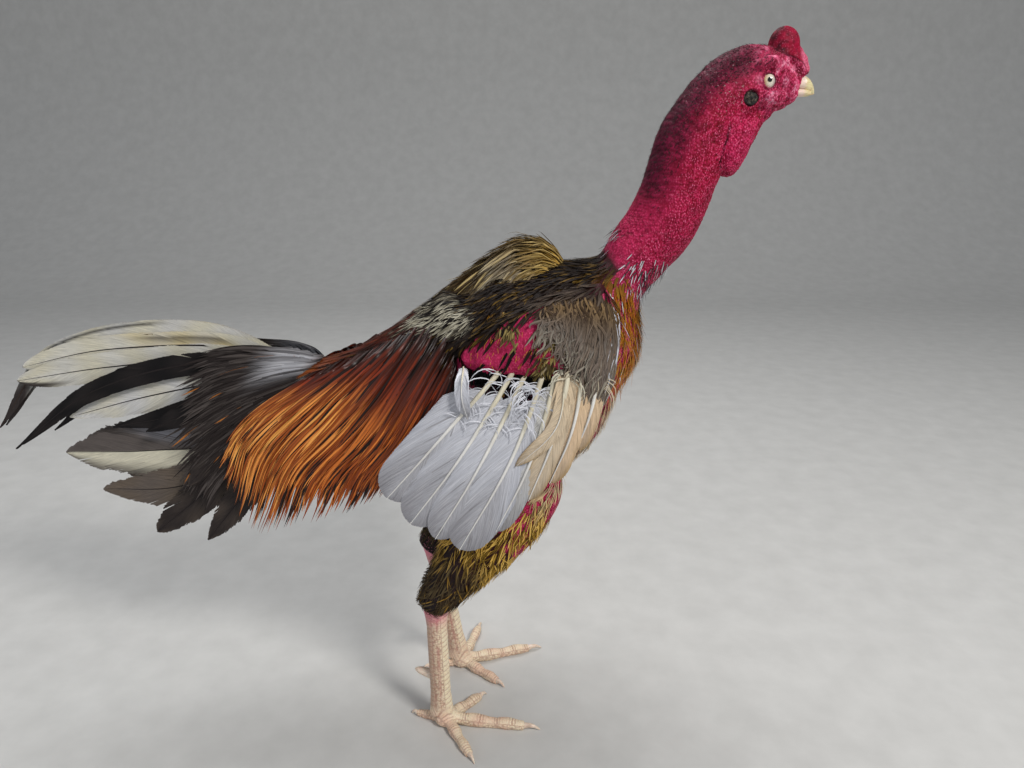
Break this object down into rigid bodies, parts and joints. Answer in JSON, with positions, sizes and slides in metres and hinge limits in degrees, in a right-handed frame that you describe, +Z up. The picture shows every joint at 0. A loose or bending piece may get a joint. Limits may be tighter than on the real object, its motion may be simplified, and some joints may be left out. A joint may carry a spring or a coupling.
{
  "type": "gamecock model",
  "caption": "Standing life-size gamecock with a bare neck and head, pea comb, saddle of long pointed hackles, drooping wings and a loose fanned tail.",
  "frame": {"origin": "on the floor under the middle of the bird's outline, half way between beak tip and tail tip", "axes": "+X towards the beak, +Y towards the bird's left side, +Z up"},
  "size_m": [0.7516, 0.2265, 0.6488],
  "materials": {
    "bare_skin": "bare crimson skin, pebbled and slightly glossy",
    "body_feathers": "pink skin and flesh under a thin cover of short olive and brown feathers",
    "saddle_hackles": "rust and gold hackles with dark gaps",
    "cape_feathers": "golden brown tuft over dark brown feathers",
    "tail_feathers": "black, grey and cream tail feathers",
    "flight_feathers": "white and pale grey flight feathers, bare pink arm",
    "leg_scales": "pale flesh-coloured scales",
    "horn": "pale yellow horn",
    "eyes": "pale iris round a small black pupil",
    "ears": "dark ear opening"
  },
  "bodies": {
    "root": {"beak_lower": "horn", "beak_upper": "horn", "cape": "cape_feathers", "claw_left_hallux": "horn", "claw_left_inner": "horn", "claw_left_middle": "horn", "claw_left_outer": "horn", "claw_right_hallux": "horn", "claw_right_inner": "horn", "claw_right_middle": "horn", "claw_right_outer": "horn", "comb": "bare_skin", "ear_left": "ears", "ear_right": "ears", "eye_left": "eyes", "eye_right": "eyes", "foot_left": "leg_scales", "foot_right": "leg_scales", "head": "bare_skin", "neck_lower": "bare_skin", "neck_upper": "bare_skin", "saddle": "saddle_hackles", "shank_left": "leg_scales", "shank_right": "leg_scales", "spur_left": "horn", "spur_right": "horn", "tail": "tail_feathers", "thigh_left": "body_feathers", "thigh_right": "body_feathers", "toe_left_hallux": "leg_scales", "toe_left_inner": "leg_scales", "toe_left_middle": "leg_scales", "toe_left_outer": "leg_scales", "toe_right_hallux": "leg_scales", "toe_right_inner": "leg_scales", "toe_right_middle": "leg_scales", "toe_right_outer": "leg_scales", "torso": "body_feathers", "wattles": "bare_skin", "wing_left": "flight_feathers", "wing_right": "flight_feathers"}
  },
  "joints": []
}
